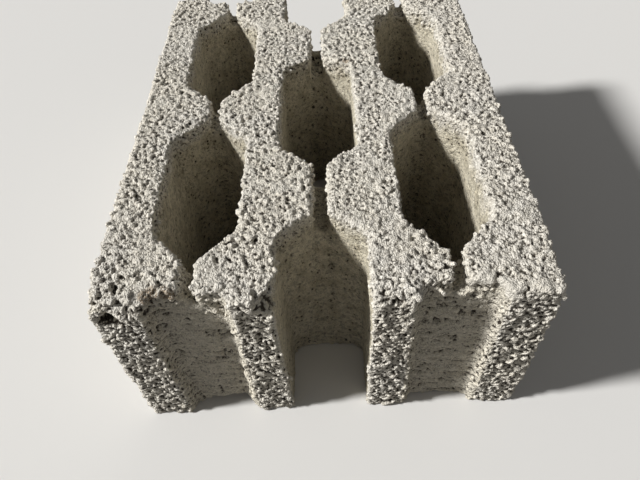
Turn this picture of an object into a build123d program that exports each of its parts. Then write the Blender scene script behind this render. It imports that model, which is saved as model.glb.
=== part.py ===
"""A lightweight-aggregate concrete wall block, cast in one piece.

Two face walls and two inner walls run along the block, with three rows of cells between them. Webs join
the walls at staggered places, and a slit is sunk into the top of each web.
X goes through the wall, Y along it and Z up. The origin is the middle of the lower bed face.
"""

from build123d import *
import os
from math import radians, tan

# Overall size
LENGTH = 500.0
WIDTH = 375.0
HEIGHT = 200.0

# Walls and cells through the thickness. Plan sizes are at the level of each row's web tops.
FACE_WALL = 40.5
INNER_WALL = 31.0
MIDDLE_CELL_WIDTH = 79.0

# Outer rows: whole cells, and a shallow splayed recess at both ends of the block
OUTER_CELLS = 2
OUTER_WEB = 32.0
OUTER_SLIT = 12.0
OUTER_SHOULDER = 34.0
RECESS_DEPTH = 15.0
RECESS_MOUTH = 75.0
RECESS_FLOOR = 58.0

# Middle row: one whole cell, and a deep cavity that is open at both ends of the block
MIDDLE_WEB = 63.0
MIDDLE_SLIT = 14.0
MIDDLE_SHOULDER = 24.0
CAVITY_DEPTH = 95.0

# The cavities' inner wall leans out from the web tops down to the bed, where these sizes hold
CAVITY_FOOT_DEPTH = 75.0
CAVITY_FOOT_SHOULDER = 4.0

# Depth of the slits in the web tops
OUTER_SLIT_DEPTH = 20.0
MIDDLE_SLIT_DEPTH = 32.0

# Draft that lets the block leave its cores, in degrees: every cell narrows downwards
CORE_DRAFT = 0.65

# Roundings of the upright edges
CELL_RADIUS = 14.0
WEB_RADIUS = 3.0
SLIT_MOUTH_RADIUS = 7.0
RECESS_RADIUS = 8.0
ARRIS_RADIUS = 2.5

# How far a core runs past the end faces and past the bed faces, and how near two corners count as one
END_OVERRUN = 20.0
BED_OVERRUN = 1.0
SAME = 0.01

# Places that follow from the sizes above
HALF_LENGTH = LENGTH / 2
OUTER_CELL_WIDTH = (WIDTH - MIDDLE_CELL_WIDTH) / 2 - FACE_WALL - INNER_WALL
OUTER_ROW_X = WIDTH / 2 - FACE_WALL - OUTER_CELL_WIDTH / 2
OUTER_CELL_LENGTH = (LENGTH - 2 * RECESS_DEPTH - (OUTER_CELLS + 1) * OUTER_WEB) / OUTER_CELLS
OUTER_CELL_PITCH = OUTER_CELL_LENGTH + OUTER_WEB
MIDDLE_CELL_LENGTH = LENGTH - 2 * CAVITY_DEPTH - 2 * MIDDLE_WEB


def cell_side(y, width, length, shoulder, slit):
    """Right-hand corners of a cell centred on y, which narrows over its shoulders to the slit's width."""
    near, far = y - length / 2, y + length / 2
    return [(slit / 2, near), (width / 2, near + shoulder), (width / 2, far - shoulder), (slit / 2, far)]


def cavity_side(side, depth, shoulder):
    """Right-hand corners of the middle cavity at the near end, from outside the block inwards."""
    floor = depth - HALF_LENGTH
    outside = (side, -HALF_LENGTH - END_OVERRUN)
    return [outside, (side, floor - shoulder), (MIDDLE_SLIT / 2, floor)]


def recess_side():
    """Right-hand corners of an outer row's recess at the near end, splayed towards its mouth."""
    mouth, floor = RECESS_MOUTH / 2, RECESS_FLOOR / 2
    splay = (mouth - floor) / RECESS_DEPTH
    outside = (mouth + splay * END_OVERRUN, -HALF_LENGTH - END_OVERRUN)
    return [outside, (floor, RECESS_DEPTH - HALF_LENGTH)]


def far_end(side):
    """The same corners at the far end of the block, in the order of a walk towards +Y."""
    return [(x, -y) for x, y in reversed(side)]


def symmetric_face(side):
    """A face with these corners on its right and their mirror images on its left."""
    return make_face(Polyline(*side, *[(-x, y) for x, y in reversed(side)], close=True))


def rounded(face, radii):
    """The face with its corners rounded, by a radius for each distance from the row's middle line."""
    for x, radius in radii.items():
        corners = [v for v in face.vertices() if abs(abs(v.X) - x) < SAME and abs(v.Y) < HALF_LENGTH]
        face = fillet(corners, radius) if corners else face
    return face


def cores(upper_side, lower_sides, x, slit, slit_depth, radii):
    """The solids that a row of cells takes out: one down to the web tops, and one below it for each cell."""
    web_top = HEIGHT - slit_depth
    level = Pos(x, 0, web_top)
    upper = rounded(symmetric_face(upper_side), {slit / 2: SLIT_MOUTH_RADIUS, **radii})
    yield extrude(level * upper, slit_depth + BED_OVERRUN, taper=-CORE_DRAFT)
    for side in lower_sides:
        lower = rounded(symmetric_face(side), {slit / 2: WEB_RADIUS, **radii})
        yield extrude(level * lower, web_top + BED_OVERRUN, dir=(0, 0, -1), taper=CORE_DRAFT)


def outer_row_cores(x):
    """Cores of an outer row: its cells and both end recesses, joined by the slit above the webs."""
    first = -OUTER_CELL_PITCH * (OUTER_CELLS - 1) / 2
    cells = [
        cell_side(first + i * OUTER_CELL_PITCH, OUTER_CELL_WIDTH, OUTER_CELL_LENGTH, OUTER_SHOULDER, OUTER_SLIT)
        for i in range(OUTER_CELLS)
    ]
    recess = recess_side()
    slit_end = (OUTER_SLIT / 2, RECESS_DEPTH - HALF_LENGTH)
    upper = [*recess, slit_end, *sum(cells, []), *far_end([*recess, slit_end])]
    radii = {OUTER_CELL_WIDTH / 2: CELL_RADIUS, RECESS_FLOOR / 2: RECESS_RADIUS}
    return cores(upper, [recess, *cells, far_end(recess)], x, OUTER_SLIT, OUTER_SLIT_DEPTH, radii)


def leaning_core(top, foot):
    """The core of a cavity below the web tops, from its outline there to its outline under the bed."""
    levels = ((HEIGHT - MIDDLE_SLIT_DEPTH, top), (-BED_OVERRUN, foot))
    faces = []
    for z, side in levels:
        radii = {MIDDLE_SLIT / 2: WEB_RADIUS, max(x for x, _ in side): CELL_RADIUS}
        faces.append(Pos(0, 0, z) * rounded(symmetric_face(side), radii))
    return loft(faces, ruled=True)


def middle_row_cores():
    """Cores of the middle row: its cell and both open cavities, joined by the slit above the webs."""
    half = MIDDLE_CELL_WIDTH / 2
    foot_half = half - (HEIGHT - MIDDLE_SLIT_DEPTH + BED_OVERRUN) * tan(radians(CORE_DRAFT))
    cavity = cavity_side(half, CAVITY_DEPTH, MIDDLE_SHOULDER)
    foot = cavity_side(foot_half, CAVITY_FOOT_DEPTH, CAVITY_FOOT_SHOULDER)
    cell = cell_side(0, MIDDLE_CELL_WIDTH, MIDDLE_CELL_LENGTH, MIDDLE_SHOULDER, MIDDLE_SLIT)
    upper = [*cavity, *cell, *far_end(cavity)]
    yield from cores(upper, [cell], 0, MIDDLE_SLIT, MIDDLE_SLIT_DEPTH, {half: CELL_RADIUS})
    yield leaning_core(cavity, foot)
    yield leaning_core(far_end(cavity), far_end(foot))


def concrete_block():
    """The whole casting."""
    block = Pos(0, 0, HEIGHT / 2) * Box(WIDTH, LENGTH, HEIGHT)
    for core in [*outer_row_cores(-OUTER_ROW_X), *middle_row_cores(), *outer_row_cores(OUTER_ROW_X)]:
        block -= core
    ends = [edge for edge in block.edges() if is_arris(edge)]
    return fillet(ends, ARRIS_RADIUS)


def is_arris(edge):
    """Whether an edge is upright, or nearly, and lies in an end face."""
    low, high = edge.start_point(), edge.end_point()
    in_end_face = abs(abs(low.Y) - HALF_LENGTH) < SAME and abs(abs(high.Y) - HALF_LENGTH) < SAME
    return in_end_face and abs(high.Z - low.Z) > abs(high.X - low.X)


os.makedirs("parts", exist_ok=True)
export_step(concrete_block(), "parts/concrete_block.step")
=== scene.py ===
"""Looks of a porous lightweight-concrete wall block: its open, lumpy skin, its wear and its colours.

Lengths are in metres unless a name says otherwise. X goes through the wall, Y along the block and Z up.
The block is one casting. Its skin is shaped as one closed surface and then kept as several meshes that meet
edge to edge, so that each of them stays small.
"""

import math

import bmesh
import bpy
import numpy as np
from mathutils import Matrix, Vector


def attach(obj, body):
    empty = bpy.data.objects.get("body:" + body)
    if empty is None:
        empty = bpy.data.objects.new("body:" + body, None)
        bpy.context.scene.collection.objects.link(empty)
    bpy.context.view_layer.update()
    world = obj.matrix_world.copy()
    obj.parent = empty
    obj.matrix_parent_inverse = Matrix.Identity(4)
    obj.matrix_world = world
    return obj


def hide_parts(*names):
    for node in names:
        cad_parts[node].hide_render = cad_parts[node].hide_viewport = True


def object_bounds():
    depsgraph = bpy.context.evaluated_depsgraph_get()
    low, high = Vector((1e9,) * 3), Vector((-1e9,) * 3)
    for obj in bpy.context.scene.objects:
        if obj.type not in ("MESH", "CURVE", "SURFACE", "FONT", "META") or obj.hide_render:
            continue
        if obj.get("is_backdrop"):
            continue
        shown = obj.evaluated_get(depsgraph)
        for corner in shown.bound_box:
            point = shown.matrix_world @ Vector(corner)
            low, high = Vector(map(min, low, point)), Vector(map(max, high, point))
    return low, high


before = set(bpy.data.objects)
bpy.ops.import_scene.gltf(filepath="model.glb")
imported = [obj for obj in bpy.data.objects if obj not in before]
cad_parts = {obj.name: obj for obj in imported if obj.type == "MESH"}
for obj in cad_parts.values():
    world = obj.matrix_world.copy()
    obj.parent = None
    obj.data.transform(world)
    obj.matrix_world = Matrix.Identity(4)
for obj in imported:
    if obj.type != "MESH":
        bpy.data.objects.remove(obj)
CAD_LOW, CAD_HIGH = (np.array(corner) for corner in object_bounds())

NODE = "concrete_block"
BODY = "root"
MM = 0.001
SEED = 7

# Camera, as the photograph was taken, in metres and degrees
CAMERA_PLACE = (0.00986, -0.47622, 0.54044)
CAMERA_PITCH = 49.908
CAMERA_YAW = -2.124
CAMERA_ROLL = 4.193
CAMERA_LENS_MM = 30.383
SENSOR_MM = 36.0

# Light: angles in degrees, the azimuth from +X towards +Y
KEY_AZIMUTH = 188
KEY_ELEVATION = 34
KEY_SPREAD = 7
KEY_STRENGTH = 4.5
FILL_STRENGTH = 0.12
BACKDROP_STRENGTH = 0.8

# Outer rows: their middle lines, and half the width of their end recesses
ROW_X = 108.75 * MM
RECESS_HALF = 36.5 * MM

# Form: depth of the end recesses, how far its faces lie inside the block's box, and how deep a zone reaches
RECESS_DEPTH = 15.0 * MM
CRUST_DEPTH = 3.0 * MM
BED_DEPTH = 1.0 * MM
ZONE_DEPTH = 3.0 * MM

# Meshes: the fineness of the form and of the skin, and how strongly each step of smoothing acts
FORM_VOXEL = 1.8 * MM
SKIN_VOXEL = 0.9 * MM
SMOOTHING = 0.5
EDGE_STEPS = 4
SLIT_STEPS = 30
BLUR_STEPS = 20

# Relief of the form: the sizes of its patterns, along X, Y and Z where they differ
SWELL_SIZE = 30 * MM
HOLE_SIZE = 9 * MM
CLEFT_SIZE = np.array([9.0, 9.0, 6.5]) * MM
GRAIN_SIZE = 5 * MM
TEAR_SIZE = np.array([22.0, 22.0, 9.0]) * MM
CRACK_SIZE = np.array([20.0, 20.0, 9.0]) * MM
CRACK_PATCH_SIZE = 14 * MM
POCK_SIZE = 7 * MM

# Relief of the form: how far each pattern stands out or reaches in, in millimetres
ROUGH_SWELL = 0.8
HOLE_DEPTH = 3.2
END_CLEFT_DEPTH = 4.8
SIDE_CLEFT_DEPTH = 2.2
WALL_SWELL = 0.7
WALL_GRAIN = 0.5
POCK_DEPTH = 1.5
WALL_INSET = 0.1
TEAR_HEIGHT = 3.6
CRACK_DEPTH = 3.0
TORN_GRAIN = 0.4

# Pebbles by zone: spacing, usual radius, spread of radii, share of large ones and stretch along the level
PEBBLES = (
    ("top", 2.1 * MM, 1.14 * MM, 0.44, 0.09, 1.0),
    ("ends", 2.7 * MM, 1.3 * MM, 0.36, 0.05, 1.35),
    ("sides", 2.4 * MM, 1.35 * MM, 0.42, 0.09, 1.15),
    ("torn", 2.6 * MM, 1.4 * MM, 0.36, 0.03, 1.0),
    ("rim", 3.4 * MM, 1.4 * MM, 0.3, 0.02, 1.0),
    ("bed", 4.2 * MM, 1.6 * MM, 0.3, 0.02, 1.0),
)
LUMP_LIMIT = 3.8 * MM

# Skin: its finest grit, how far flat smears are lifted, and how flat its calm patches are worn
GRIT_SIZE = 2.2 * MM
SMEAR_LIFT = 0.5 * MM
SMEAR_FLATNESS = 0.75
CALM_FLATNESS = 0.55

# What the material reads at each vertex; the first is how much painted shade lies in the skin's hollows and
# holes
LAYERS = ("hollow_shade", "open", "smear", "stain")

# Patches of the skin: the depth behind an outer face that belongs to its patch, and triangles in each patch
TOP_BAND = 7 * MM
BED_BAND = 4 * MM
SIDE_BAND = 8 * MM
PATCH_TRIANGLES = {
    "top_left": 150_000,
    "top_right": 150_000,
    "bed": 60_000,
    "near_end": 100_000,
    "far_end": 60_000,
    "left_face": 95_000,
    "right_face": 95_000,
    "cores_near": 125_000,
    "cores_far": 125_000,
}

# Web slits, in millimetres: the row's middle line, the web's middle along the block, half its length, the
# height of its top, and how much higher the slit's floor is on its right than in its middle
SLITS = (
    (-108.75, -219, 16, 180, -6),
    (-108.75, 0, 16, 180, 0),
    (-108.75, 219, 16, 180, 0),
    (108.75, -219, 16, 180, 3),
    (108.75, 0, 16, 180, 0),
    (108.75, 219, 16, 180, 0),
    (0, -123.5, 31.5, 168, 0),
    (0, 123.5, 31.5, 168, 0),
)

# Worn corners and edges, in millimetres: from, to, and how far in along each axis the wear reaches
WORN = (
    ((-187.5, -250, 200), (-187.5, -250, 200), (27, 25, -34)),
    ((-187.5, -250, 200), (-139, -250, 200), (0, 14, -20)),
    ((-187.5, -250, 0), (-187.5, -250, 200), (9, 9, 0)),
    ((187.5, -250, 200), (187.5, -250, 200), (-14, 15, -18)),
    ((-39.5, -250, 200), (-39.5, -250, 200), (-20, 27, -30)),
    ((40, -250, 200), (70, -250, 200), (0, 11, -14)),
    ((-120, -235, 0), (-86, -235, 0), (0, 24, 13)),
)

# Torn and broken-out places, in millimetres: centre, half-widths and depth
TORN = (
    ((-86, -233, 180), (17, 12, 26), 5.0),
    ((-124, -237, 193), (13, 9, 12), 4.0),
    ((91, -237, 193), (14, 9, 12), 5.0),
    ((122, -237, 184), (10, 9, 20), 5.0),
)
HOLES = (
    ((-171, -247, 180), (12, 10, 9), 18.0),
    ((-164, -227, 199), (5, 12, 9), 6.0),
    ((-176, -222, 199), (5, 5, 6), 5.0),
    ((136, -233, 199), (5, 6, 7), 7.0),
    ((130, -246, 194), (6, 7, 7), 8.0),
    ((154, -246, 198), (7, 4, 6), 7.0),
    ((-55, -186, 199), (5, 5, 7), 7.0),
    ((-32, -163, 199), (5, 5, 7), 7.0),
    ((-77, -187, 199), (5, 5, 7), 7.0),
    ((48, -244, 197), (7, 6, 7), 6.0),
    ((-50, -240, 192), (9, 8, 9), 8.0),
    ((88, -242, 194), (8, 7, 7), 7.0),
    ((-46, -242, 191), (12, 11, 12), 8.0),
    ((44, -248, 198), (5, 5, 5), 6.0),
    ((57, -248, 190), (6, 6, 6), 7.0),
    ((122, -246, 194), (7, 6, 6), 6.0),
)

# Depth at which a hole's painted shade is as dark as it gets, in millimetres
DARKEST_HOLE = 26.0

# Large grains that stand out, in millimetres: place and radius
GRAINS = (
    ((181, -245, 196), 5.2),
    ((168, -247, 190), 4.0),
    ((182, -247, 173), 3.4),
    ((186, -65, 197), 4.0),
    ((186, -156, 197), 4.2),
    ((185, -186, 197), 4.0),
    ((-118, -206, 197), 3.5),
    ((84, -244, 189), 3.0),
    ((94, -240, 189), 3.0),
    ((104, -219, 198), 2.8),
)

# Crumbs that lie in the far slit of the middle row, in millimetres: middle of the heap and its half-widths
CRUMBS_AT = (0, 118, 171)
CRUMBS_REACH = (6, 18, 3)
CRUMBS = 26

# Flat smears of fine paste and brown stains, in millimetres: place and radius
SMEARS = (
    ((-36, -123, 200), 12),
    ((48, -93, 200), 10),
    ((-84, -221, 200), 10),
    ((-176, -151, 200), 10),
    ((-170, 17, 200), 10),
    ((-140, -213, 200), 6),
    ((126, -232, 200), 10),
    ((142, -246, 194), 13),
)
STAINS = (
    ((-122, -236, 196), 9),
    ((-135, -236, 197), 9),
    ((33, 77, 200), 5),
)

# Colours, as sRGB from 0 to 255
PASTE = (230, 223, 208)
COOL_PASTE = (224, 219, 209)
GRAIN_DARK = (190, 182, 166)
GRAIN_PALE = (244, 238, 225)
SMEAR = (230, 224, 211)
STAIN = (146, 125, 98)
WALL = (230, 221, 198)
WALL_STAIN = (202, 192, 168)
# Painted shade, laid into hollows, holes, pits, granule joints and the low parts of the wall mottle
CREVICE_SHADE = (54, 46, 36)
FLOOR = (226, 224, 220)
FLOOR_BOUNCE = (126, 123, 118)

# Material: roughness, and the sizes of its patterns
CONCRETE_ROUGHNESS = 0.94
FLOOR_ROUGHNESS = 0.8
TINT_SIZE = 70 * MM
BLOTCH_SIZE = 14 * MM
SPECK_SIZE = 1.2 * MM
JOLT_SIZE = 2.5 * MM
JOLT = 1.6 * MM
GRANULE_SIZE = 1.7 * MM
PIT_SPACING = 5 * MM
MOTTLE_SIZE = 4.5 * MM
FINE_GRIT_SIZE = 1.0 * MM

# Material: the heights of its bumps
FINE_GRIT_HEIGHT = 0.6 * MM
GRANULE_HEIGHT = 1.0 * MM
MOTTLE_HEIGHT = 5.0 * MM
PIT_HEIGHT = 1.2 * MM

# Floor: from its middle to its edges, in metres
FLOOR_REACH = 6.0


def linear(rgb):
    """Linear red, green, blue and alpha of an sRGB colour from 0 to 255."""
    share = np.array(rgb) / 255
    low, high = share / 12.92, ((share + 0.055) / 1.055) ** 2.4
    return (*np.where(share <= 0.04045, low, high).tolist(), 1.0)


def smooth_step(value, low, high):
    """0 at low and 1 at high, with a soft start and end; high may be the smaller of the two."""
    t = np.clip((value - low) / (high - low), 0, 1)
    return t * t * (3 - 2 * t)


# Noise

def hashed(cells, salt):
    """A repeatable number from 0 to 1 for each row of whole-numbered cells."""
    a, b, c = (cells[:, i].astype(np.int64).astype(np.uint32) for i in range(3))
    h = a * np.uint32(0x8DA6B343) ^ b * np.uint32(0xD8163841) ^ c * np.uint32(0xCB1AB31F)
    h ^= np.uint32((salt * 0x9E3779B1) & 0xFFFFFFFF)
    for shift, factor in ((15, 0x2C1B3C6D), (12, 0x297A2D39), (15, 0x85EBCA6B)):
        h = (h ^ (h >> np.uint32(shift))) * np.uint32(factor)
    return (h ^ (h >> np.uint32(16))).astype(np.float64) / 0xFFFFFFFF


def value_noise(points, size, salt):
    """Smooth noise from -1 to 1 whose cells have this size, one number or one for each axis."""
    scaled = points / size
    base = np.floor(scaled)
    t = scaled - base
    t = t * t * (3 - 2 * t)
    total = np.zeros(len(points))
    for corner in np.ndindex(2, 2, 2):
        weight = np.prod(np.where(corner, t, 1 - t), axis=1)
        total += weight * hashed(base + corner, salt)
    return 2 * total - 1


def fractal_noise(points, size, octaves, salt):
    """Sum of value noises, each half the size and strength of the one before, from about -1 to 1."""
    total, strength = np.zeros(len(points)), 1.0
    for octave in range(octaves):
        total += strength * value_noise(points, np.array(size) / 2**octave, salt + octave)
        strength /= 2
    return total / (2 - 2 * strength)


def cell_noise(points, size, salt):
    """Distance to the nearest of a field of scattered points, in cells, and that point's own number."""
    scaled = points / size
    base = np.floor(scaled)
    nearest, owner = np.full(len(points), np.inf), np.zeros(len(points))
    for step in np.ndindex(3, 3, 3):
        cell = base + np.array(step) - 1
        spot = cell + np.stack([hashed(cell, salt + axis) for axis in range(3)], axis=1)
        distance = np.linalg.norm(spot - scaled, axis=1)
        closer = distance < nearest
        nearest = np.where(closer, distance, nearest)
        owner = np.where(closer, hashed(cell, salt + 3), owner)
    return nearest, owner


def pits(points, size, share, salt):
    """Depth from 0 to 1 of round pits in this share of the cells of a field."""
    distance, owner = cell_noise(points, size, salt)
    radius = 0.28 + 0.22 * (owner / share)
    return np.where(owner < share, np.clip(1 - (distance / radius) ** 2, 0, 1), 0)


# Meshes as arrays

def coordinates(mesh):
    """The mesh's vertices as rows."""
    flat = np.empty(len(mesh.vertices) * 3, np.float32)
    mesh.vertices.foreach_get("co", flat)
    return flat.reshape(-1, 3).astype(np.float64)


def set_coordinates(mesh, points):
    mesh.vertices.foreach_set("co", points.astype(np.float32).ravel())
    mesh.update()


def normals(mesh):
    """The mesh's vertex normals as rows."""
    flat = np.empty(len(mesh.vertices) * 3, np.float32)
    mesh.vertex_normals.foreach_get("vector", flat)
    return flat.reshape(-1, 3).astype(np.float64)


def triangles(mesh):
    """The mesh's triangles as rows of three vertex numbers."""
    mesh.calc_loop_triangles()
    flat = np.empty(len(mesh.loop_triangles) * 3, np.int32)
    mesh.loop_triangles.foreach_get("vertices", flat)
    return flat.reshape(-1, 3)


def mesh_of(name, points, faces):
    """A mesh from rows of points and rows of triangles."""
    mesh = bpy.data.meshes.new(name)
    mesh.vertices.add(len(points))
    mesh.loops.add(faces.size)
    mesh.polygons.add(len(faces))
    mesh.vertices.foreach_set("co", points.astype(np.float32).ravel())
    mesh.loops.foreach_set("vertex_index", faces.astype(np.int32).ravel())
    mesh.polygons.foreach_set("loop_start", np.arange(0, faces.size, 3, dtype=np.int32))
    mesh.update(calc_edges=True)
    return mesh


def set_attribute(mesh, name, values):
    """Writes one number for each vertex, for a material to read."""
    layer = mesh.attributes.new(name, "FLOAT", "POINT")
    layer.data.foreach_set("value", values.astype(np.float32))


def attribute(mesh, name):
    """One number for each vertex, as it was written."""
    values = np.empty(len(mesh.vertices), np.float32)
    mesh.attributes[name].data.foreach_get("value", values)
    return values


def with_modifier(mesh, kind, **settings):
    """A new mesh: this one after a modifier."""
    holder = bpy.data.objects.new("holder", mesh)
    bpy.context.scene.collection.objects.link(holder)
    modifier = holder.modifiers.new(kind.lower(), kind)
    for name, value in settings.items():
        setattr(modifier, name, value)
    shape = holder.evaluated_get(bpy.context.evaluated_depsgraph_get())
    result = bpy.data.meshes.new_from_object(shape)
    bpy.data.objects.remove(holder)
    return result


# Form

FORM_LOW = CAD_LOW + np.array([CRUST_DEPTH, CRUST_DEPTH, BED_DEPTH])
FORM_HIGH = CAD_HIGH - CRUST_DEPTH


def near_face(points, directions, axis, sign, depth):
    """From 0 to 1, how much each point lies on the outer face that looks this way along this axis."""
    limit = FORM_HIGH[axis] if sign > 0 else FORM_LOW[axis]
    within = smooth_step(np.abs(points[:, axis] - limit), 2 * depth, depth)
    return within * smooth_step(directions[:, axis] * sign, 0.2, 0.6)


def zones(points, directions):
    """How much each point lies on the top, ends, sides, bed, rim of the core walls and recess backs."""
    ends = [near_face(points, directions, 1, sign, ZONE_DEPTH) for sign in (-1, 1)]
    sides = [near_face(points, directions, 0, sign, ZONE_DEPTH) for sign in (-1, 1)]
    top = near_face(points, directions, 2, 1, ZONE_DEPTH)
    back = np.abs(np.abs(points[:, 1]) - CAD_HIGH[1] + RECESS_DEPTH)
    outward = directions[:, 1] * np.sign(points[:, 1])
    return {
        "recess": smooth_step(back, 8 * MM, 4 * MM) * smooth_step(outward, 0.3, 0.7),
        "top": top,
        "ends": np.maximum(*ends),
        "sides": np.maximum(*sides),
        "bed": near_face(points, directions, 2, -1, ZONE_DEPTH),
        "rim": smooth_step(FORM_HIGH[2] - points[:, 2], 24 * MM, 2 * MM) * (1 - top),
    }


def falloff(points, centre, reach):
    """From 1 at a centre to 0 at its half-widths, all in millimetres."""
    away = np.linalg.norm((points / MM - np.array(centre)) / np.array(reach), axis=1)
    return smooth_step(away, 1.0, 0.2)


def slit_share(points):
    """How near each point is to a slit's floor, from 0 to 1, and how far that floor leans up there."""
    share, lean = np.zeros(len(points)), np.zeros(len(points))
    for x, y, half, top, rise in SLITS:
        near = falloff(points, (x, y, top), (22, half + 16, 18))
        share = np.maximum(share, smooth_step(near, 0.0, 0.5))
        across = np.clip((points[:, 0] / MM - x) / 6, -1, 1)
        lean += MM * rise * across * near
    return share, lean


def worn(points):
    """The points with those outside each worn corner or edge moved in to its slanting, uneven face."""
    uneven = 0.22 * value_noise(points, 9 * MM, SEED + 60) + 0.12 * value_noise(points, 4 * MM, SEED + 61)
    for start, end, reach in WORN:
        low, high = np.minimum(start, end), np.maximum(start, end)
        offset = points / MM - np.clip(points / MM, low, high)
        slope = np.array([1 / step if step else 0.0 for step in reach])
        inward = offset @ slope
        past = np.linalg.norm(offset * (slope == 0), axis=1) / 8
        inside = (offset * slope > -0.2).all(axis=1)
        short = np.clip(1 - inward - past + uneven, 0, None) * inside
        points = points + MM * (short / (slope @ slope))[:, None] * slope
    return points


def eased_form():
    """The block's own shape, a little inside its box, with rounded edges and slit floors."""
    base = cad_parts[NODE].data.copy()
    set_coordinates(base, np.clip(coordinates(base), FORM_LOW, FORM_HIGH))
    mesh = with_modifier(base, "REMESH", mode="VOXEL", voxel_size=FORM_VOXEL)
    points = coordinates(mesh)
    share, lean = slit_share(points)
    eased = coordinates(with_modifier(mesh, "SMOOTH", factor=SMOOTHING, iterations=EDGE_STEPS))
    round_floor = coordinates(with_modifier(mesh, "SMOOTH", factor=SMOOTHING, iterations=SLIT_STEPS))
    points = eased + share[:, None] * (round_floor - eased)
    points[:, 2] += lean
    set_coordinates(mesh, points)
    return mesh


def torn_relief(points, grains):
    """Height in millimetres of the torn layers at the backs of the end recesses."""
    tears = fractal_noise(points, TEAR_SIZE, 3, SEED + 25)
    cracks = smooth_step(np.abs(fractal_noise(points, CRACK_SIZE, 3, SEED + 28)), 0.12, 0.02)
    cracks *= smooth_step(value_noise(points, CRACK_PATCH_SIZE, SEED + 29), -0.1, 0.3)
    return TEAR_HEIGHT * tears - CRACK_DEPTH * cracks + TORN_GRAIN * grains


def relief(points, zone):
    """Height in millimetres of the form's unevenness, before its torn places and holes."""
    faces = np.maximum(zone["ends"], zone["sides"])
    bed, rim = 0.4 * zone["bed"], 0.7 * zone["rim"]
    rough = np.maximum.reduce([zone["top"], faces, bed, rim, zone["recess"]])
    swell = fractal_noise(points, SWELL_SIZE, 3, SEED)
    holes = pits(points, HOLE_SIZE, 0.3, SEED + 10)
    clefts = pits(points, CLEFT_SIZE, 0.62, SEED + 15)
    grains = fractal_noise(points, GRAIN_SIZE, 2, SEED + 20)
    pocks = pits(points, POCK_SIZE, 0.4, SEED + 35)
    cleft_depth = END_CLEFT_DEPTH * zone["ends"] + SIDE_CLEFT_DEPTH * zone["sides"]
    rough_height = ROUGH_SWELL * swell - np.maximum(HOLE_DEPTH * holes, cleft_depth * clefts)
    wall_height = WALL_SWELL * swell + WALL_GRAIN * grains - POCK_DEPTH * pocks - WALL_INSET
    height = rough * rough_height + (1 - rough) * wall_height
    return height + zone["recess"] * (torn_relief(points, grains) - height)


def block_form():
    """The form with its relief and damage, and its zones, which leave out the inside of the holes."""
    mesh = eased_form()
    points, directions = coordinates(mesh), normals(mesh)
    zone = zones(points, directions)
    height = relief(points, zone)
    crumble = 0.55 + 0.45 * value_noise(points, GRAIN_SIZE, SEED + 40)
    zone["torn"] = np.zeros(len(points))
    for centre, reach, depth in TORN:
        torn = falloff(points, centre, reach)
        height -= depth * crumble * torn
        zone["torn"] = np.maximum(zone["torn"], torn)
    bare = np.ones(len(points))
    for centre, reach, depth in HOLES:
        hole = smooth_step(falloff(points, centre, reach), 0.0, 0.6)
        height -= depth * hole
        bare *= 1 - hole
    set_coordinates(mesh, worn(points + MM * height[:, None] * directions))
    return mesh, {name: share * bare for name, share in zone.items()}


# Lumps: the aggregate that stands out of the skin

def surface_samples(mesh, density, rng):
    """Random places on a mesh, at this density for each square metre, with their directions."""
    corners = triangles(mesh)
    a, b, c = (coordinates(mesh)[corners[:, i]] for i in range(3))
    cross = np.cross(b - a, c - a)
    twice_area = np.linalg.norm(cross, axis=1)
    count = rng.poisson(twice_area / 2 * density[corners].mean(axis=1))
    chosen = np.repeat(np.arange(len(count)), count)
    u, v = rng.random((2, len(chosen)))
    u, v = np.where(u + v > 1, [1 - u, 1 - v], [u, v])
    places = a[chosen] + u[:, None] * (b - a)[chosen] + v[:, None] * (c - a)[chosen]
    directions = (cross / np.maximum(twice_area, 1e-12)[:, None])[chosen]
    return places, directions


def thinned(places, spacing, rng):
    """Indices of places of which no two share a cube of this spacing."""
    order = rng.permutation(len(places))
    cells = np.floor(places[order] / spacing).astype(np.int64)
    _, first = np.unique(cells, axis=0, return_index=True)
    return np.sort(order[first])


def ball(splits):
    """Vertices and triangles of a unit ball: an icosahedron, split this many times."""
    shape = bmesh.new()
    bmesh.ops.create_icosphere(shape, subdivisions=splits, radius=1)
    points = np.array([vertex.co for vertex in shape.verts])
    faces = np.array([[vertex.index for vertex in face.verts] for face in shape.faces])
    shape.free()
    return points, faces


def turned_axes(directions, level, rng):
    """For each direction, two tangents and itself, as rows; the first is nearly level, or random."""
    upright = rng.normal(size=directions.shape) * (0.5 if level else 1.0)
    upright[:, 2] += 1.0 if level else 0.0
    directions = directions / np.linalg.norm(directions, axis=1)[:, None]
    first = np.cross(directions, upright)
    first /= np.linalg.norm(first, axis=1)[:, None]
    return np.stack([first, np.cross(directions, first), directions], axis=1)


def pebbles(places, directions, radii, stretch, rng, level=False):
    """Points and triangles of an uneven pebble at each place, longer than wide by the stretch."""
    unit, faces = ball(1)
    count, corners = len(places), len(unit)
    length = rng.uniform(0.9, 1.1, count) * stretch
    width, height = rng.uniform(0.75, 1.05, count) / stretch**0.5, rng.uniform(0.6, 1.0, count)
    scale = radii[:, None] * np.stack([length, width, height], axis=1)
    uneven = 1 + rng.uniform(-0.22, 0.2, (count, corners, 1))
    shapes = unit[None] * uneven * scale[:, None]
    points = np.einsum("gvk,gkx->gvx", shapes, turned_axes(directions, level, rng))
    points += places[:, None]
    numbers = faces[None] + corners * np.arange(count)[:, None, None]
    return points.reshape(-1, 3), numbers.reshape(-1, 3)


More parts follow.
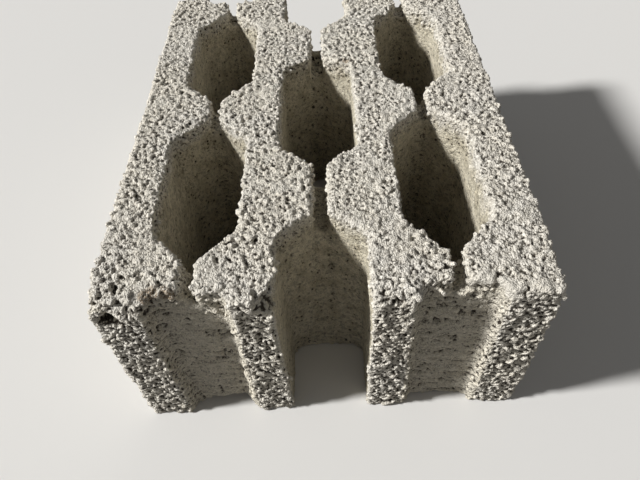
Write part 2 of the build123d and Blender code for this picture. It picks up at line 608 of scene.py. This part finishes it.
def zone_pebbles(form, share, row, rng):
    """The pebbles of one zone, by its row of the table and its share at each vertex."""
    spacing, radius, spread, large, stretch = row
    places, out = surface_samples(form, 2.2 / spacing**2 * share, rng)
    keep = thinned(places, spacing, rng)
    places, out = places[keep], out[keep]
    out = out + 0.35 * rng.normal(size=out.shape)
    out /= np.linalg.norm(out, axis=1)[:, None]
    radii = radius * np.exp(rng.normal(0, spread, len(places)))
    radii *= np.where(rng.random(len(places)) < large, rng.uniform(1.6, 2.4, len(places)), 1)
    radii = np.minimum(radii, LUMP_LIMIT)
    stand = rng.uniform(-0.2, 0.8, len(places)) * radii
    return pebbles(places + out * stand[:, None], out, radii, stretch, rng, level=stretch > 1)


def lumps(form, zone, rng):
    """The pebbles of all zones, the large grains and the crumbs, as lists of points and triangles."""
    made = [zone_pebbles(form, zone[name], row, rng) for name, *row in PEBBLES]
    places, radii = (np.array(column) * MM for column in zip(*GRAINS))
    made.append(pebbles(places, rng.normal(size=places.shape), radii, 1.2, rng))
    places = MM * (np.array(CRUMBS_AT) + rng.uniform(-1, 1, (CRUMBS, 3)) * np.array(CRUMBS_REACH))
    directions = rng.normal(size=places.shape)
    made.append(pebbles(places, directions, rng.uniform(1.4, 3.2, CRUMBS) * MM, 1.1, rng))
    return made


# Skin

def fused(form, extra, voxel):
    """One closed surface round a mesh and all the extra shapes."""
    points, faces = [coordinates(form)], [triangles(form)]
    first = len(points[0])
    for more_points, more_faces in extra:
        points.append(more_points)
        faces.append(more_faces + first)
        first += len(more_points)
    joined = mesh_of("joined", np.clip(np.vstack(points), CAD_LOW, CAD_HIGH), np.vstack(faces))
    return with_modifier(joined, "REMESH", mode="VOXEL", voxel_size=voxel)


def main_part(mesh):
    """A new mesh: the largest connected part of this one, without free crumbs and inner voids."""
    points, faces = coordinates(mesh), triangles(mesh)
    group, before = np.arange(len(points)), None
    while before is None or (group != before).any():
        before = group.copy()
        lowest = group[faces].min(axis=1)
        for corner in range(3):
            np.minimum.at(group, before[faces[:, corner]], lowest)
        while (group != group[group]).any():
            group = group[group]
    kept = group == np.bincount(group).argmax()
    renumbered = np.cumsum(kept) - 1
    return mesh_of("skin", points[kept], renumbered[faces[kept[faces[:, 0]]]])


def block_skin():
    """The whole casting's surface, with what its material reads at each vertex."""
    rng = np.random.default_rng(SEED)
    form, zone = block_form()
    mesh = main_part(fused(form, lumps(form, zone, rng), SKIN_VOXEL))
    points, directions = coordinates(mesh), normals(mesh)
    openness, smear = open_share(points), spots(points, SMEARS)
    grit = fractal_noise(points, GRIT_SIZE, 2, SEED + 30)
    lift = MM * (0.42 + 0.16 * openness) * grit
    points = points + directions * lift[:, None]
    set_coordinates(mesh, points)
    blurred = coordinates(with_modifier(mesh, "SMOOTH", factor=SMOOTHING, iterations=BLUR_STEPS))
    # Painted shade: how far each vertex lies below its smoothed surroundings, made deeper on the ends, plus
    # the painted shade inside the holes
    hollow_shade = np.einsum("ij,ij->i", blurred - points, directions) / MM * (1 + 0.7 * end_share(points))
    hollow_shade += hole_painted_shade(points)
    flat = np.maximum(SMEAR_FLATNESS * smear, calm_share(points))
    points = points + flat[:, None] * (blurred - points + SMEAR_LIFT * directions)
    set_coordinates(mesh, np.clip(points, CAD_LOW, CAD_HIGH))
    set_attribute(mesh, "hollow_shade", hollow_shade * (1 - flat))
    set_attribute(mesh, "open", openness)
    set_attribute(mesh, "smear", smear)
    set_attribute(mesh, "stain", spots(points, STAINS))
    return mesh


def end_share(points):
    """How much each point lies on the ends, clear of their upper and lower edges, from 0 to 1."""
    depth = np.minimum(points - CAD_LOW, CAD_HIGH - points)
    return smooth_step(depth[:, 1], 10 * MM, 7 * MM) * smooth_step(depth[:, 2], 3 * MM, 8 * MM)


def calm_share(points):
    """How far the lumps are worn flat, in broad patches of the top face, from 0 to CALM_FLATNESS."""
    patch = smooth_step(fractal_noise(points, 24 * MM, 2, SEED + 80), 0.05, 0.45)
    return CALM_FLATNESS * patch * smooth_step(CAD_HIGH[2] - points[:, 2], 10 * MM, 5 * MM)


def hole_painted_shade(points):
    """How much painted shade each point gets inside one of the holes, from 0 up to 1 in the deepest, set
    deeper in and lower down.
    """
    share = np.zeros(len(points))
    for (x, y, z), reach, depth in HOLES:
        dark = falloff(points, (x, y + depth / 4, z - depth / 4), reach) * depth / DARKEST_HOLE
        share = np.maximum(share, dark)
    return share


def spots(points, places):
    """From 0 to 1, how much each point lies in one of the ragged round spots at these places."""
    ragged = 1 + 0.35 * value_noise(points, 6 * MM, SEED + 70)
    share = np.zeros(len(points))
    for centre, radius in places:
        away = np.linalg.norm(points / MM - np.array(centre), axis=1) / radius
        share = np.maximum(share, smooth_step(away * ragged, 1.0, 0.6))
    return share


def open_share(points):
    """From 1 on the outer faces, whose lumps lie bare, to 0 on the smoother walls of the cores."""
    depth = np.minimum(points - CAD_LOW, CAD_HIGH - points)
    in_row = np.abs(np.abs(points[:, 0]) - ROW_X) < RECESS_HALF
    end = smooth_step(depth[:, 1], 8 * MM, 4 * MM) * ~in_row
    outer = np.maximum(end, smooth_step(depth[:, 0], 8 * MM, 4 * MM))
    ragged = value_noise(points, 7 * MM, SEED + 50)
    rim = smooth_step(depth[:, 2] + 9 * MM * ragged, 26 * MM, 6 * MM) * (points[:, 2] > CAD_HIGH[2] / 2)
    recess = 0.6 * smooth_step(depth[:, 1], RECESS_DEPTH + 8 * MM, RECESS_DEPTH + 3 * MM)
    return np.maximum.reduce([outer, rim, recess * in_row])


def patch_of(centres):
    """For each triangle's centre, the number of the patch that it belongs to."""
    x, y, z = centres.T
    return np.select(
        [
            (z > CAD_HIGH[2] - TOP_BAND) & (x < 0),
            z > CAD_HIGH[2] - TOP_BAND,
            z < CAD_LOW[2] + BED_BAND,
            y < CAD_LOW[1] + SIDE_BAND,
            y > CAD_HIGH[1] - SIDE_BAND,
            x < CAD_LOW[0] + SIDE_BAND,
            x > CAD_HIGH[0] - SIDE_BAND,
            y < 0,
        ],
        range(len(PATCH_TRIANGLES) - 1),
        len(PATCH_TRIANGLES) - 1,
    )


def add_thinning(made, free, ratio):
    """Adds a modifier that thins a patch to this share of its triangles, at its free vertices only."""
    group = made.vertex_groups.new(name="free")
    group.add(free.tolist(), 1.0, "REPLACE")
    thin = made.modifiers.new("thin", "DECIMATE")
    thin.ratio = ratio
    thin.vertex_group = group.name


def patches(skin):
    """The skin's patches, each thinned to its number of triangles; the lines between them stay."""
    points, faces = coordinates(skin), triangles(skin)
    patch = patch_of(points[faces].mean(axis=1))
    layers = {name: attribute(skin, name) for name in LAYERS}
    users = [np.unique(faces[patch == number]) for number in range(len(PATCH_TRIANGLES))]
    shared = np.bincount(np.concatenate(users), minlength=len(points)) > 1
    renumbered = np.empty(len(points), np.int32)
    pieces = []
    for number, (name, limit) in enumerate(PATCH_TRIANGLES.items()):
        used, own = users[number], faces[patch == number]
        renumbered[used] = np.arange(len(used))
        mesh = mesh_of(name, points[used], renumbered[own])
        for layer, values in layers.items():
            set_attribute(mesh, layer, values[used])
        made = bpy.data.objects.new("block_" + name, mesh)
        bpy.context.scene.collection.objects.link(made)
        add_thinning(made, np.flatnonzero(~shared[used]), min(1.0, limit / len(own)))
        pieces.append(made)
    depsgraph = bpy.context.evaluated_depsgraph_get()
    thinner = [bpy.data.meshes.new_from_object(made.evaluated_get(depsgraph)) for made in pieces]
    for made, mesh in zip(pieces, thinner):
        made.modifiers.clear()
        made.vertex_groups.clear()
        set_coordinates(mesh, np.clip(coordinates(mesh), CAD_LOW, CAD_HIGH))
        mesh.validate()
        made.data = mesh
    return pieces


def build_block(material):
    for made in patches(block_skin()):
        made.data.shade_smooth()
        made.data.materials.clear()
        made.data.materials.append(material)
        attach(made, BODY)
        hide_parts(NODE)


# Materials

def new_material(name, roughness):
    material = bpy.data.materials.new(name)
    material.use_nodes = True
    material.node_tree.nodes["Principled BSDF"].inputs["Roughness"].default_value = roughness
    return material


class Graph:
    """The nodes of a material or world; an input is another node's output or a plain value."""

    def __init__(self, tree):
        self.nodes = tree.nodes
        self.links = tree.links

    def add(self, kind, inputs, **settings):
        node = self.nodes.new("ShaderNode" + kind)
        for name, value in settings.items():
            setattr(node, name, value)
        for name, value in inputs.items():
            self.put(node.inputs[name], value)
        return node

    def put(self, socket, value):
        if isinstance(value, bpy.types.NodeSocket):
            self.links.new(value, socket)
        else:
            socket.default_value = value

    def attribute(self, name):
        return self.add("Attribute", {}, attribute_name=name).outputs["Fac"]

    def noise(self, place, size, detail=2.0, roughness=0.5):
        inputs = {"Vector": place, "Scale": 1 / size, "Detail": detail, "Roughness": roughness}
        return self.add("TexNoise", inputs).outputs["Fac"]

    def cells(self, place, size):
        return self.add("TexVoronoi", {"Vector": place, "Scale": 1 / size})

    def math(self, operation, first, second=0.0):
        return self.add("Math", {0: first, 1: second}, operation=operation).outputs[0]

    def ramp(self, value, low, high, bottom=0.0, top=1.0):
        inputs = {"Value": value, "From Min": low, "From Max": high, "To Min": bottom, "To Max": top}
        return self.add("MapRange", inputs, interpolation_type="SMOOTHSTEP").outputs["Result"]

    def blend(self, share, first, second):
        return self.add("Mix", {0: share, 6: first, 7: second}, data_type="RGBA").outputs[2]

    def shade(self, colour, factor):
        """A colour made darker or paler by a number."""
        grey = self.add("CombineColor", {"Red": factor, "Green": factor, "Blue": factor}).outputs[0]
        inputs = {0: 1.0, 6: colour, 7: grey}
        return self.add("Mix", inputs, data_type="RGBA", blend_type="MULTIPLY").outputs[2]

    def seen(self):
        """1 where it is looked at, straight, in gloss or through glass, and 0 where it only gives light."""
        path = self.add("LightPath", {}).outputs
        mirrored = self.math("MAXIMUM", path["Is Glossy Ray"], path["Is Transmission Ray"])
        return self.math("MAXIMUM", path["Is Camera Ray"], mirrored)

    def bump(self, height, distance, strength=1.0, normal=None):
        inputs = {"Height": height, "Distance": distance, "Strength": strength}
        if normal:
            inputs["Normal"] = normal
        return self.add("Bump", inputs).outputs["Normal"]


def bent_place(graph, place):
    """The place, shifted a little at random, so that no cell has a straight edge."""
    inputs = {"Vector": place, "Scale": 1 / JOLT_SIZE, "Detail": 1.0}
    jolt = graph.add("TexNoise", inputs).outputs["Color"]
    inputs = {0: jolt, 1: (JOLT,) * 3, 2: place}
    return graph.add("VectorMath", inputs, operation="MULTIPLY_ADD").outputs[0]


def paint(graph, openness, smear, stain, tone, blotches, specks, place):
    """The concrete's colour before its painted crevice shade: granules and paste outside, cream paste in
    the cores.
    """
    tint = graph.ramp(graph.noise(place, TINT_SIZE), 0.35, 0.65)
    paste = graph.blend(tint, linear(PASTE), linear(COOL_PASTE))
    faces = graph.blend(tone, linear(GRAIN_DARK), linear(GRAIN_PALE))
    faces = graph.blend(graph.ramp(blotches, 0.3, 0.7, 0.2, 0.7), faces, paste)
    faces = graph.blend(graph.ramp(smear, 0.0, 1.0, 0.0, 0.6), faces, linear(SMEAR))
    walls = graph.blend(graph.ramp(blotches, 0.35, 0.7), linear(WALL), linear(WALL_STAIN))
    colour = graph.blend(openness, walls, faces)
    brown = graph.math("MULTIPLY", stain, graph.ramp(specks, 0.4, 0.55, 0.1, 0.95))
    return graph.blend(brown, colour, linear(STAIN))


def small_pits(graph, bent, blotches, openness):
    """From 0 to 1, how deep each place lies in one of the core walls' small pits."""
    field = graph.cells(bent, PIT_SPACING)
    chance = graph.add("SeparateColor", {"Color": field.outputs["Color"]}).outputs["Green"]
    chance = graph.math("MULTIPLY", chance, graph.ramp(blotches, 0.3, 0.65, 0.6, 1.0))
    radius = graph.ramp(chance, 0.3, 1.0, 0.0, 0.33)
    pit = graph.ramp(graph.math("SUBTRACT", radius, field.outputs["Distance"]), 0.0, 0.1)
    return graph.math("MULTIPLY", pit, graph.math("SUBTRACT", 1.0, openness))


def concrete():
    """Porous concrete, with painted shade in its hollows, holes, pits, wall mottle and between its
    granules.
    """
    material = new_material("porous_concrete", CONCRETE_ROUGHNESS)
    graph = Graph(material.node_tree)
    shader = graph.nodes["Principled BSDF"].inputs
    place = graph.add("TexCoord", {}).outputs["Object"]
    hollow_shade, openness, smear, stain = (graph.attribute(name) for name in LAYERS)
    bare = graph.math("MULTIPLY", openness, graph.ramp(smear, 0.0, 1.0, 1.0, 0.6))
    sandy = graph.math("SUBTRACT", 1.0, bare)

    blotches = graph.noise(place, BLOTCH_SIZE, 3.0, 0.6)
    specks = graph.noise(place, SPECK_SIZE, 3.0, 0.7)
    bent = bent_place(graph, place)
    granules = graph.cells(bent, GRANULE_SIZE)
    tone = graph.add("SeparateColor", {"Color": granules.outputs["Color"]}).outputs["Red"]
    dome = graph.ramp(granules.outputs["Distance"], 0.75, 0.1)
    joint = graph.ramp(granules.outputs["Distance"], 0.5, 0.8)
    pit = small_pits(graph, bent, blotches, openness)
    mottle = graph.noise(bent, MOTTLE_SIZE, 3.0, 0.7)

    # Painted shade: the crevice colour goes where the skin is hollow, in holes, between granules, in pits
    # and in the low parts of the wall mottle
    crevice_shade = linear(CREVICE_SHADE)
    joint_shade = graph.math("MULTIPLY", joint, graph.ramp(bare, 0.0, 1.0, 0.26, 0.38))
    depth = graph.math("ADD", hollow_shade, joint_shade)
    # Painted shade in the low parts of the wall mottle, where its bump is also lowest
    mottle_shade = graph.math("MULTIPLY", sandy, graph.ramp(mottle, 0.52, 0.36, 0.0, 0.36))
    colour = paint(graph, openness, smear, stain, tone, blotches, specks, place)
    colour = graph.blend(graph.ramp(depth, 0.08, 0.66), colour, crevice_shade)
    colour = graph.blend(pit, colour, crevice_shade)
    colour = graph.blend(mottle_shade, colour, crevice_shade)
    colour = graph.shade(colour, graph.ramp(specks, 0.25, 0.75, 0.8, 1.15))
    # Painted shade: darker in hollows; proud parts are made paler
    colour = graph.shade(colour, graph.ramp(hollow_shade, -0.8, 0.2, 1.14, 0.98))
    graph.put(shader["Base Color"], colour)

    grit = graph.bump(graph.noise(place, FINE_GRIT_SIZE, 4.0, 0.7), FINE_GRIT_HEIGHT)
    grained = graph.bump(dome, GRANULE_HEIGHT, graph.ramp(bare, 0.0, 1.0, 0.7, 0.9), grit)
    sanded = graph.bump(mottle, MOTTLE_HEIGHT, graph.math("MULTIPLY", sandy, 0.9), grained)
    normal = graph.bump(graph.math("SUBTRACT", 1.0, pit), PIT_HEIGHT, 1.0, sanded)
    graph.put(shader["Normal"], normal)
    return material


# Studio

def floor_paint():
    """A paint that looks pale, also in gloss and through glass, and throws less light than it looks."""
    material = new_material("floor_paint", FLOOR_ROUGHNESS)
    graph = Graph(material.node_tree)
    colour = graph.blend(graph.seen(), linear(FLOOR_BOUNCE), linear(FLOOR))
    graph.put(graph.nodes["Principled BSDF"].inputs["Base Color"], colour)
    return material


def build_floor():
    signs = ((-1, -1), (1, -1), (1, 1), (-1, 1))
    corners = np.array([(x * FLOOR_REACH, y * FLOOR_REACH, 0) for x, y in signs])
    mesh = mesh_of("floor", corners, np.array([(0, 1, 2), (0, 2, 3)]))
    mesh.materials.append(floor_paint())
    floor = bpy.data.objects.new("floor", mesh)
    bpy.context.scene.collection.objects.link(floor)
    floor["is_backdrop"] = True


def build_lights():
    azimuth, elevation = math.radians(KEY_AZIMUTH), math.radians(KEY_ELEVATION)
    flat = math.cos(elevation)
    toward = Vector((math.cos(azimuth) * flat, math.sin(azimuth) * flat, math.sin(elevation)))
    data = bpy.data.lights.new("key", "SUN")
    data.energy = KEY_STRENGTH
    data.angle = math.radians(KEY_SPREAD)
    key = bpy.data.objects.new("key", data)
    key.rotation_euler = toward.to_track_quat("Z", "Y").to_euler()
    bpy.context.scene.collection.objects.link(key)
    world = bpy.data.worlds.new("studio")
    world.use_nodes = True
    graph = Graph(world.node_tree)
    background = graph.nodes["Background"].inputs
    background["Color"].default_value = (1, 1, 1, 1)
    graph.put(background["Strength"], graph.ramp(graph.seen(), 0, 1, FILL_STRENGTH, BACKDROP_STRENGTH))
    bpy.context.scene.world = world


def build_camera():
    pitch, yaw, roll = (math.radians(angle) for angle in (CAMERA_PITCH, CAMERA_YAW, CAMERA_ROLL))
    ahead = np.array([math.sin(yaw) * math.cos(pitch), math.cos(yaw) * math.cos(pitch), -math.sin(pitch)])
    level = np.array([math.cos(yaw), -math.sin(yaw), 0])
    down = np.cross(ahead, level)
    right = math.cos(roll) * level + math.sin(roll) * down
    up = math.sin(roll) * level - math.cos(roll) * down
    data = bpy.data.cameras.new("camera")
    data.lens = CAMERA_LENS_MM
    data.sensor_width = SENSOR_MM
    camera = bpy.data.objects.new("camera", data)
    matrix = Matrix(np.stack([right, up, -ahead], axis=1).tolist()).to_4x4()
    matrix.translation = CAMERA_PLACE
    camera.matrix_world = matrix
    bpy.context.scene.collection.objects.link(camera)
    bpy.context.scene.camera = camera


build_camera()
build_floor()
build_lights()
build_block(concrete())
bpy.context.scene.view_settings.view_transform = "Standard"
